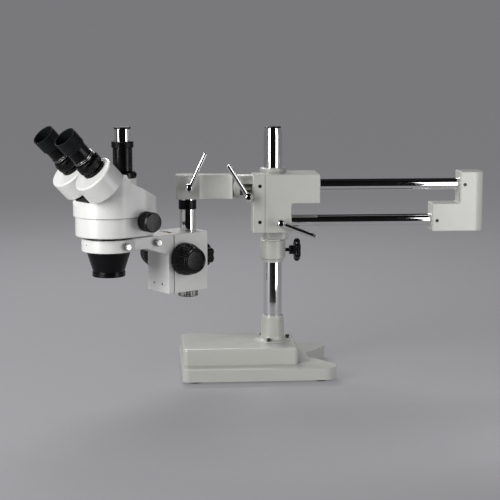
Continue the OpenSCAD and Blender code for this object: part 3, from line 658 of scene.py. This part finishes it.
def front_yoke():
    low, high = extent("front_yoke")
    plate_x, collar_r, spindle_bore = -38.7, 19.8, 11.05
    plan = rectangle((plate_x, high.x + 10), (-50, -10), 0)
    yoke = soften(prism("front_yoke", WORLD, plan, (low.z, high.z)), 2.5, 3)
    beyond = rectangle((high.x, high.x + 15), (low.z - 5, high.z + 5), 0)
    cut(yoke, prism("seam", FACING, beyond, (0, 60)))
    for z in SET_SCREW_Z:
        cut(yoke, front_hole((plate_x + high.x) / 2 + 2, z, SET_SCREW_R, (ROD_Y - ROD_R, low.y - 3)))
        cut(yoke, drill(along(Vector((0, ROD_Y * MM, z * MM)), RIGHT, UP), ROD_R, (-30, -10)))
    roll = joint_point("arm_roll")
    place = along(Vector((0, roll.y, roll.z)), RIGHT, UP)
    collar_end = plate_x + 3
    profile = [(spindle_bore, low.x, 0.3), (collar_r, low.x, 1.6), (collar_r, collar_end),
               (spindle_bore, collar_end)]
    collar = lathe("collar", place, profile, closed=True)
    cut(collar, prism("window", FACING, rectangle((-60, plate_x - 0.2), (306, 325), 0), (30, 60)))
    lever = joint_point("tilt_lever_turn") / MM
    cut(collar, front_hole(lever.x, lever.z, STUD_BORE, (-28, -60)))
    dress(join([yoke, collar]), "boom", "stand_paint", STAND_PAINT, "front_yoke")


def swing_arm():
    low, high = extent("swing_arm")
    waist_x, waist_r, depth = -101, 70, 6
    post_hole_top, spindle_r = 334.5, 11
    middle = (low.y + high.y) / 2
    reach = waist_r - depth
    spread = math.degrees(math.asin(math.sqrt(waist_r ** 2 - reach ** 2) / waist_r))
    outline = rounded([
        (low.x, low.y, 4), *arc((waist_x, low.y - reach), waist_r, 90 + spread, 90 - spread, 24),
        (high.x, low.y), (high.x, high.y),
        *arc((waist_x, high.y + reach), waist_r, 270 + spread, 270 - spread, 24), (low.x, high.y, 4),
    ], closed=True)
    arm = soften(prism("swing_arm", WORLD, outline, (low.z, high.z)), 2, 3)
    post = joint_point("post_swivel")
    cut(arm, drill(Matrix.Translation((post.x, post.y, 0)), POST_BORE, (low.z - 5, post_hole_top)))
    spindle = along(Vector((0, middle * MM, joint_point("arm_roll").z)), RIGHT, UP)
    cut(arm, drill(spindle, spindle_r, (-100, -60)))
    dress(arm, "arm", "stand_paint", STAND_PAINT, "swing_arm")


def ball_lever(node, body, joint, angle, stud_end):
    """Ball hub with a hex socket, a stud behind it and a straight rod at an angle over +X."""
    ball, flat, rod, length, stud, hex_r = 7.8, 6.9, 3.9, 64, 3, 2.2
    place = FACING.copy()
    place.translation = joint_point(joint)
    stud_low = joint_point(joint).y / MM - stud_end
    edge = math.degrees(math.asin(flat / ball))
    turns = [math.radians(a) for a in range(-90, int(edge), 6)]
    half = [(max(ball * math.cos(a), 0), ball * math.sin(a)) for a in turns]
    profile = half + [(math.sqrt(ball ** 2 - flat ** 2), flat), (0, flat)]
    hub = cut(lathe("hub", place, profile, segments=64), hex_cutter(place, hex_r, (flat - 2.5, flat + 2)))
    pin = lathe("pin", place, [(0, stud_low), (stud, stud_low), (stud, 0), (0, 0)], segments=48)
    turn = Matrix.Rotation(math.radians(angle), 4, "Z") @ Matrix.Rotation(math.radians(90), 4, "Y")
    shaft = [(0, 3), (rod, 3), (rod, length, 1.2), (0, length)]
    piece = join([hub, pin, lathe("rod", place @ turn, shaft, segments=64)])
    piece.name = node
    dress(piece, body, "lever_chrome", CHROME, node)


# ---------- focus drive ----------

def focus_post():
    low, high = extent("focus_post", POST)
    radius = high.x
    profile = [(0, low.z), (radius, low.z, 1), (radius, high.z, 1), (0, high.z)]
    dress(lathe("focus_post", POST, profile, segments=128), "post", "pillar_chrome", CHROME, "focus_post")
    low, high = extent("post_spacer", POST)
    profile = [(radius, low.z), (high.x, low.z, 0.4), (high.x, high.z, 0.4), (radius, high.z)]
    dress(lathe("post_spacer", POST, profile, closed=True), "post", "cap_plastic", PLASTIC, "post_spacer")
    low, high = extent("post_stop_ring", POST)
    outer = 16.95
    profile = [(radius, low.z), (outer - 0.95, low.z, 0.3), (outer, low.z + 1, 0.3, 1),
               (outer, high.z - 1, 0.3, 1), (outer - 0.95, high.z, 0.3), (radius, high.z)]
    ring = lathe("post_stop_ring", POST, profile, closed=True, ribs=(26, 1.3, KNURL))
    dress(ring, "post", "cap_plastic", THUMB, "post_stop_ring")


def focus_housing():
    low, high = extent("focus_housing", POST)
    plan = rounded(rectangle((low.x, high.x), (low.y, high.y), 3), closed=True)
    housing = soften(prism("focus_housing", POST, plan, (low.z, high.z)), 1.3)
    cut(housing, drill(POST, POST_BORE, (low.z - 5, high.z + 5), 96))
    mouth, back, channel, gear_r, shaft_bore = 15, high.x - 8, 8, 9.5, 4.05
    dovetail = [(high.x + 2, -mouth), (high.x + 2, mouth), (high.x, mouth), (back, mouth + 4),
                (back, -mouth - 4), (high.x, -mouth)]
    cut(housing, prism("way", POST, dovetail, (low.z - 5, high.z + 5)))
    rack_way = rectangle((high.x - 10.5, high.x), (-channel, channel), 0)
    cut(housing, prism("channel", POST, rack_way, (low.z - 5, high.z + 5)))
    pinion = along(joint_point("pinion_turn"), SIDE, UP)
    cut(housing, drill(pinion, gear_r, (-channel, channel)))
    cut(housing, drill(pinion, shaft_bore, (-50, 50)))
    dress(housing, "focus_body", "head_paint", HEAD_PAINT, "focus_housing")
    low, high = extent("post_clamp_knob", POST)
    origin = POST @ Vector((0, 0, joint_point("clamp_knob_turn").z))
    knob = lobed_knob("post_clamp_knob", along(origin, -USER, UP), -high.x, 20.95, (28.2, -low.x), 19)
    dress(knob, "clamp_knob", "knob_plastic", KNOB, "post_clamp_knob")


def focus_knob(node, side):
    place = along(joint_point("pinion_turn"), SIDE * side, UP)
    low, high = extent(node, place)
    start, end = low.z, high.z
    drum, rim = 27, 19.6
    profile = [
        (0, start + 4), (20, start + 4), (22, start, 0.8), (drum - 0.8, start, 0.8, 0.6),
        (drum, start + 2.2, 0.6, 1), (drum - 0.3, start + 13, 1, 1), (drum - 1.4, start + 17, 2, 1),
        (rim + 1.9, end - 5, 1, 0.8), (rim + 1.2, end - 4, 0.3, 0), (rim + 0.4, end - 3.6, 0.3),
        (rim, end - 1, 0.8), (rim - 1, end, 0.6), (rim - 2.6, end - 0.1, 0.5), (rim - 3.4, end - 2.4, 0.4),
        (rim - 5, end - 2.2, 0.3), (0, end - 1.6),
    ]
    piece = lathe(node, place, profile, ribs=(32, 1.25, FLUTES))
    dress(piece, "pinion", "knob_plastic", KNOB, node)


def ring_holder():
    low, high = extent("ring_holder", HEAD)
    outer, ring_low = high.x, 226
    profile = [(NECK_R, ring_low, 0.4), (outer, ring_low, 1.8), (outer, high.z, 1.8), (NECK_R, high.z, 0.4)]
    ring = lathe("ring_holder", HEAD, profile, closed=True, segments=160)
    pin_turn, pin_z, pin_r = math.radians(4), 238.5, 1.3
    outward = USER * math.cos(pin_turn) + SIDE * math.sin(pin_turn)
    cut(ring, drill(along(HEAD @ Vector((0, 0, pin_z * MM)), outward, UP), pin_r, (NECK_R + 2, outer + 2), 32))
    side_view = frame_of(POST.translation, USER, UP, -SIDE)
    start, front, half, arm_low, arm_top = 50.2, 61.5, 31, 214, high.z - 0.5
    reach = (HEAD.translation - POST.translation).length / MM
    outline = [
        (start, low.z), (front, low.z), (front, arm_low), (front + 6, arm_low), (front + 42, ring_low + 0.5),
        (reach, ring_low + 0.5), (reach, arm_top), (start, arm_top),
    ]
    arm = soften(prism("arm", side_view, outline, (-half, half)), 1.5)
    cut(arm, drill(HEAD, NECK_R, (200, 260), 160))
    screw_w, screw_z, screw_r = 12, 161, 2.1
    for w in (-screw_w, screw_w):
        hole = along(POST @ Vector((front * MM, w * MM, screw_z * MM)), USER, UP)
        cut(arm, drill(hole, screw_r, (-5, 3)))
    piece = join([ring, arm])
    dress(piece, "slide", "head_paint", HEAD_PAINT, "ring_holder")


def thumb_screw(node, body, joint, stud):
    """Knurled head on a plain stud, along the user's right."""
    place = along(joint_point(joint), joint_axis(joint), UP)
    low, high = extent(node, place)
    head, radius = high.z - 8, 6
    profile = [(0, low.z), (stud, low.z), (stud, head), (radius - 1.6, head, 0.2), (radius, head + 0.9, 0.3, 1),
               (radius, high.z - 1.2, 0.4, 1), (radius - 1.2, high.z, 0.4), (0, high.z - 0.3)]
    dress(lathe(node, place, profile, ribs=(22, 0.45, KNURL)), body, "lever_chrome", THUMB, node)


# ---------- head ----------

def head_plan(grow):
    """The head's plan: round in front about the optical axis, longer behind."""
    front, rear, centre_u, centre_w = 54 + grow, 42 + grow, -34, 11
    return [*arc((0, 0), front, -90, 90, 60), *arc((centre_u, centre_w), rear, 90, 180, 20),
            *arc((centre_u, -centre_w), rear, 180, 270, 20)]


def lower_housing():
    low, high = extent("lower_housing", HEAD)
    body_low, wall, bore, neck = 251, 3, 34, 37.9
    shell = soften(prism("lower_housing", HEAD, head_plan(-1), (body_low, high.z)), 2.2, 4)
    cut(shell, prism("inside", HEAD, head_plan(-1 - wall), (body_low + wall, high.z + 5)))
    cut(shell, drill(HEAD, bore, (body_low - 1, body_low + wall + 1), 96))
    dress(shell, "head", "head_paint", HEAD_PAINT, "lower_housing")
    # The neck under the housing is made black so the gap between the ring and the housing reads dark: painted
    # shade in that gap.
    profile = [(bore, low.z), (neck, low.z), (neck, body_low + 1), (bore, body_low + 1)]
    dress(lathe("head_neck_gap_shade", HEAD, profile, closed=True), "head", "black_metal", ANODISED_AND_GAP_SHADE)


def housing_solid(name, grow, inset, low):
    """Plan and side view of the upper housing, cut to their common solid."""
    front_edge, crown, front = 299, 353, 57
    side = [
        (front - inset, low), (front - inset, front_edge - 0.4 * inset),
        (front - (crown - front_edge) - 0.4 * inset, crown - inset), (0, crown - inset),
        (-8, 340 - inset), (-80 + inset, 305.5 - 0.6 * inset), (-80 + inset, low),
    ]
    side_view = frame_of(HEAD.translation, USER, UP, -SIDE)
    solid = prism(name, HEAD, head_plan(grow), (low, crown + 10))
    return combine(solid, [prism("side", side_view, side, (-70, 70))], "INTERSECT")


def upper_housing():
    seam, neck_low, neck_top, neck_r = 283.8, 300, 342.5, 22
    shell = housing_solid("upper_housing", 2, 0, seam)
    neck = [(0, neck_low), (neck_r, neck_low), (neck_r, neck_top), (0, neck_top)]
    fuse(shell, lathe("neck", HEAD @ Matrix.Translation((PORT_U * MM, 0, 0)), neck, segments=96))
    soften(shell, 2.6, 4, 25)
    cut(shell, housing_solid("inside", -1, 3, seam - 5))
    dress(shell, "head", "head_paint", HEAD_PAINT, "upper_housing")


def slope_plate():
    """Thin dark sheet on the slope between the turning prism housings, with a screw."""
    middle = (joint_point("right_prism_turn") + joint_point("left_prism_turn")) / 2
    axis = joint_axis("right_prism_turn")
    place = along(middle, axis, SIDE.cross(axis))
    level, half, screw_x, screw_r = 0.3, 22, 29, 2.6
    outline = rounded(rectangle((-30, 33), (-half, half), 4), closed=True)
    plate = prism("slope_plate", place, outline, (level - 0.1, level + 0.25))
    profile = [(0, level), (screw_r, level), (screw_r, level + 0.6, 0.2), (0, level + 0.6)]
    screw = lathe("screw", place @ Matrix.Translation((screw_x * MM, 0, 0)), profile, segments=32)
    dress(join([plate, screw]), "head", "black_metal", ANODISED_AND_GAP_SHADE)


def prism_place(joint):
    return along(joint_point(joint), joint_axis(joint), SIDE.cross(joint_axis(joint)))


def tube_place(name):
    """Frame of an eyetube: origin on the prism housing's end face."""
    axis = joint_axis(name + "_diopter_turn")
    diopter_z = 15
    origin = joint_point(name + "_diopter_turn") - axis * diopter_z * MM
    return along(origin, axis, UP)


def prism_housing(name, body):
    place = prism_place(name + "_prism_turn")
    low, high = extent(name + "_prism_housing", place)
    radius = high.x
    profile = [(0, low.z), (radius - 2, low.z, 0.4), (radius, low.z + 2, 0.8), (radius, high.z, 3), (0, high.z)]
    piece = lathe(name + "_prism_housing", place, profile, segments=144)
    dress(piece, body, "head_paint", HEAD_PAINT, name + "_prism_housing")


def eyetube(name, body):
    place = tube_place(name)
    profile = [(11, 0), (19.4, 0, 0.3), (19.2, 4.5, 1), (16.8, 6.5, 0.8), (16.8, 26, 0.3), (15.05, 26, 0.3),
               (15.05, 3.5), (11, 3.5)]
    piece = lathe(name + "_eyetube", place, profile, closed=True)
    dress(piece, body, "black_metal", ANODISED_AND_GAP_SHADE, name + "_eyetube")
    profile = [
        (0, 20), (15, 20), (15, 26.2), (17.2, 26.3, 0.3), (17.2, 31.4, 0.5), (16.4, 32.2, 0.4), (16.4, 58, 0.4),
        (15.4, 59, 0.4), (12, 59, 0.3), (11, 57.6, 0.3), (11, 55), (0, 55),
    ]
    piece = lathe(name + "_eyepiece", place, profile)
    dress(piece, body, "black_metal", ANODISED_AND_GAP_SHADE, name + "_eyepiece")
    bands = []
    band_in, band_out, band_high = 17.0, 17.45, 0.7
    for z in (27.3, 30.0):
        band = [(band_in, z), (band_out, z, 0.15), (band_out, z + band_high, 0.15), (band_in, z + band_high)]
        bands.append(lathe("band", place, band, closed=True))
    bands[0].name = name + "_eyepiece_bands"
    dress(join(bands), body, "lever_chrome", BAND)
    lens_r, lens_z, bulge = 10.8, 55.4, 1.8
    turns = [math.radians(a) for a in range(0, 90, 10)]
    dome = [(lens_r * math.cos(a), lens_z + bulge * math.sin(a)) for a in turns]
    profile = [(0, lens_z - 0.2), (lens_r, lens_z - 0.2), *dome, (0, lens_z + bulge)]
    dress(lathe(name + "_eye_lens", place, profile, segments=64), body, "optical_glass", LENS)


def diopter_ring(name, body):
    place = tube_place(name)
    profile = [
        (16.85, 7.2), (19.6, 7.2, 0.5), (20.6, 8.6, 0.5), (20.6, 9.8, 0.3), (20.4, 10.4, 0.3, 1),
        (20.4, 18.2, 0.3, 1), (20.4, 18.8, 0.3), (20.2, 19.6, 0.4), (18.4, 23.5, 1), (16.85, 23.5),
    ]
    piece = lathe(name + "_diopter_ring", place, profile, closed=True, ribs=(40, 0.5, KNURL))
    dress(piece, body, "ring_plastic", KNOB, name + "_diopter_ring")


def eyecup(name, body):
    place = tube_place(name)
    profile = [
        (16.4, 50), (17.7, 50, 0.5), (18.5, 51.4, 0.5), (18.6, 58, 0.3), (18.35, 58.6, 0.2), (18.35, 59.2, 0.2),
        (18.65, 59.8, 0.3), (18.8, 73.2, 0.4), (19.0, 73.8, 0.3), (18.8, 75.4, 0.5), (17.8, 75.4, 0.4),
        (17.2, 73.6, 0.5), (16.6, 66, 1), (16.4, 58.6, 0.5),
    ]
    piece = lathe(name + "_eyecup", place, profile, closed=True, segments=128)
    dress(piece, body, "eyecup_rubber", EYECUP, name + "_eyecup")


def photo_port():
    place = HEAD @ Matrix.Translation((PORT_U * MM, 0, 0))
    low, high = extent("photo_tube", place)
    bore, tube, flange, step, screw_z, screw_r = 13.25, 15.9, 21.3, 353, 348, 3.4
    profile = [
        (bore, low.z), (flange, low.z, 0.4), (flange, step - 1.4, 0.8), (flange - 1.2, step, 0.6),
        (tube + 1, step, 0.6), (tube, step + 1.2, 0.5), (tube, high.z - 1, 0.3), (tube - 0.4, high.z, 0.2),
        (bore, high.z),
    ]
    body = lathe("photo_tube", place, profile, closed=True, segments=128)
    screw_place = along(place @ Vector((0, 0, screw_z * MM)), Vector((0.97, -0.24, 0)), UP)
    profile = [(0, flange - 2), (screw_r, flange - 2), (screw_r, flange + 1.4, 0.5), (0, flange + 1.4)]
    screw = lathe("screw", screw_place, profile, segments=40)
    dress(join([body, screw]), "head", "black_metal", ANODISED_AND_GAP_SHADE, "photo_tube")
    low, high = extent("photo_draw_tube", place)
    inner, outer = 11.6, 13.2
    profile = [(inner, low.z), (outer, low.z, 0.3), (outer, high.z, 0.3), (inner, high.z)]
    piece = lathe("photo_draw_tube", place, profile, closed=True, segments=128)
    dress(piece, "photo_draw", "lever_chrome", CHROME, "photo_draw_tube")
    low, high = extent("photo_clamp_ring", place)
    grip = 18
    profile = [(bore, low.z), (grip - 0.7, low.z, 0.3), (grip, low.z + 1, 0.3, 1), (grip, high.z - 1.4, 0.3, 1),
               (grip - 0.8, high.z, 0.4), (bore, high.z)]
    piece = lathe("photo_clamp_ring", place, profile, closed=True, ribs=(48, 0.5, KNURL))
    dress(piece, "photo_ring", "black_metal", ANODISED_AND_GAP_SHADE, "photo_clamp_ring")
    low, high = extent("photo_cap", place)
    rim, radius, plug = high.z - 2.9, 13.9, 11.5
    profile = [(0, rim - 6), (plug, rim - 6, 0.4), (plug, rim), (radius, rim, 0.4), (radius, high.z - 0.6, 0.7),
               (radius - 1, high.z, 0.5), (0, high.z - 0.3)]
    dress(lathe("photo_cap", place, profile), "photo_cap", "cap_plastic", PLASTIC, "photo_cap")


def objective_shroud():
    low, high = extent("objective_shroud", HEAD)
    thread, bore, lip, flare, step = 24, 22.5, 26.8, 35.6, 190.3
    web_low, web_high, lens_w, lens_seat, lens_lean = 196, 202, 11.5, 9.5, 6
    profile = [
        (thread, low.z, 0.3), (lip, low.z, 0.6), (lip, 191.2, 0.9), (lip - 0.8, 192.2, 0.5),
        (lip - 0.8, 193.2, 0.5), (flare - 0.4, 222.8, 0.8), (flare, 223.4, 0.3), (flare, high.z),
        (bore, high.z), (bore, web_high), (bore, step), (thread, step),
    ]
    piece = lathe("objective_shroud", HEAD, profile, closed=True, segments=144)
    web = lathe("web", HEAD, [(0, web_low), (bore - 0.1, web_low), (bore - 0.1, web_high), (0, web_high)])
    for side in (-1, 1):
        seat = Matrix.Translation((0, side * lens_w * MM, web_low * MM))
        lean = Matrix.Rotation(math.radians(-lens_lean * side), 4, "X")
        cut(web, drill(HEAD @ seat @ lean, lens_seat, (-5, 15)))
    dress(join([piece, web]), "head", "black_metal", ANODISED_AND_GAP_SHADE, "objective_shroud")


def zoom_knob(node, side):
    place = along(joint_point("zoom_turn"), SIDE * side, UP)
    low, high = extent(node, place)
    start, radius = low.z, 16.2
    profile = [
        (0, start), (14.6, start, 0.4), (radius, start + 1.2, 0.4, 1), (radius, start + 9.8, 0.4, 1),
        (15, start + 10.6, 0.3), (15, start + 12.4, 0.3), (radius, start + 13.2, 0.4, 1),
        (radius, start + 21.4, 0.4, 1), (15.4, start + 22.6, 0.5), (14.6, high.z - 0.6, 0.8), (0, high.z),
    ]
    piece = lathe(node, place, profile, ribs=(44, 0.5, KNURL))
    dress(piece, "zoom_drive", "knob_plastic", KNOB, node)


# ---------- camera, lights, floor ----------

def camera():
    """Stands in front of the pillar, turned slightly to its right and looking a little down."""
    place, tilt, turn = (-0.2196, -2.3123, 0.5600), 81.31, -4.46
    data = bpy.data.cameras.new("camera")
    data.sensor_width = 36
    data.lens = 97.86
    obj = bpy.data.objects.new("camera", data)
    obj.location = place
    obj.rotation_euler = (math.radians(tilt), 0, math.radians(turn))
    scene.collection.objects.link(obj)
    scene.camera = obj


def softbox(name, location, target, size, power):
    """Area light, facing its target. Places and sizes are in metres."""
    data = bpy.data.lights.new(name, "AREA")
    data.shape = "RECTANGLE"
    data.size, data.size_y = size
    data.energy = power
    obj = bpy.data.objects.new(name, data)
    obj.location = location
    obj.rotation_euler = (Vector(target) - Vector(location)).to_track_quat("-Z", "Y").to_euler()
    obj.visible_camera = False
    scene.collection.objects.link(obj)


def shell(name, profile, sweep, steps=72):
    """Surface of revolution about the world's Z in metres, from sweep[0] to sweep[1] degrees."""
    bm = bmesh.new()
    rows = []
    for k in range(steps + 1):
        angle = math.radians(sweep[0] + (sweep[1] - sweep[0]) * k / steps)
        rows.append([bm.verts.new((p[0] * math.cos(angle), p[0] * math.sin(angle), p[1])) for p in profile])
    for a, b in zip(rows, rows[1:]):
        for k in range(len(profile) - 1):
            bm.faces.new((a[k], b[k], b[k + 1], a[k + 1]))
    mesh = bpy.data.meshes.new(name)
    bm.to_mesh(mesh)
    bm.free()
    for polygon in mesh.polygons:
        polygon.use_smooth = True
    obj = bpy.data.objects.new(name, mesh)
    scene.collection.objects.link(obj)
    return obj


GREY = (0.118, 0.117, 0.1225)


def studio():
    """Pale floor that turns up into a round wall, three soft boxes, and a black screen in front that
    only the chrome sees."""
    floor_z = cad_low.z
    room, height = 6.5, 5.0
    backdrop = Shader("backdrop_paper", GREY, 0.85)
    backdrop.vary_color(backdrop.noise(0.8, 2), scaled(GREY, 0.97), scaled(GREY, 1.03))
    backdrop.bsdf.inputs["Emission Color"].default_value = (*GREY, 1)
    backdrop.bsdf.inputs["Emission Strength"].default_value = 1.45
    profile = rounded([(0.001, floor_z), (room, floor_z, 3.0), (room, height)], steps=20)
    floor = shell("floor", profile, (0, 360), 96)
    floor.data.materials.append(backdrop.material)
    screen = Shader("black_screen", (0.01, 0.01, 0.01), 0.9)
    screen.vary_roughness(screen.noise(2), 0.85, 0.95)
    near, edge, low, high = 0.62, 1.75, floor_z + 0.002, 3.2
    profile = [(near, low), (edge, low), (edge, high), (0.4, high + 0.2)]
    flag = shell("black_screen", profile, (-133, -50))
    flag.data.materials.append(screen.material)
    flag.visible_camera = False
    flag.visible_diffuse = False
    flag.visible_shadow = False
    flag.visible_transmission = False
    world = bpy.data.worlds.new("room")
    world.use_nodes = True
    world.node_tree.nodes["Background"].inputs["Color"].default_value = (0.02, 0.02, 0.021, 1)
    scene.world = world
    softbox("left_box", (-1.15, -0.9, 0.72), (-0.2, 0, 0.4), (0.6, 1.3), 19)
    softbox("right_box", (0.56, -0.56, 0.34), (0.26, 0, 0.3), (0.4, 0.7), 2.6)
    softbox("top_box", (-0.5, 1.3, 1.6), (-0.05, 0, 0.25), (1.3, 0.6), 25)
    scene.view_settings.view_transform = "Standard"
    scene.view_settings.look = "Medium High Contrast"


# ---------- the microscope ----------

camera()
studio()
dress_cad_nodes()
base_casting()
rubber_feet()
pillar_socket()
socket_screws()
pillar()
stop_collar()
boom_block()
swing_lock_knob()
boom_rod("upper_rod")
boom_rod("lower_rod")
rear_bracket()
front_yoke()
swing_arm()
ball_lever("boom_lock_lever", "boom_lever", "boom_lock_turn", -21, -43.2)
ball_lever("tilt_lever", "tilt_lever", "tilt_lever_turn", 122.4, -28.5)
ball_lever("post_lever", "post_lever", "post_lever_turn", 64.4, -44.15)
focus_post()
focus_housing()
focus_knob("right_focus_knob", 1)
focus_knob("left_focus_knob", -1)
ring_holder()
thumb_screw("ring_clamp_screw", "ring_screw", "ring_screw_turn", 2.5)
thumb_screw("arm_clamp_screw", "arm_screw", "arm_screw_turn", 3)
lower_housing()
upper_housing()
slope_plate()
objective_shroud()
for eye, side in (("right", 1), ("left", -1)):
    prism_housing(eye, eye + "_eye")
    eyetube(eye, eye + "_eye")
    diopter_ring(eye, eye + "_diopter")
    eyecup(eye, eye + "_eye")
    zoom_knob(eye + "_zoom_knob", side)
photo_port()
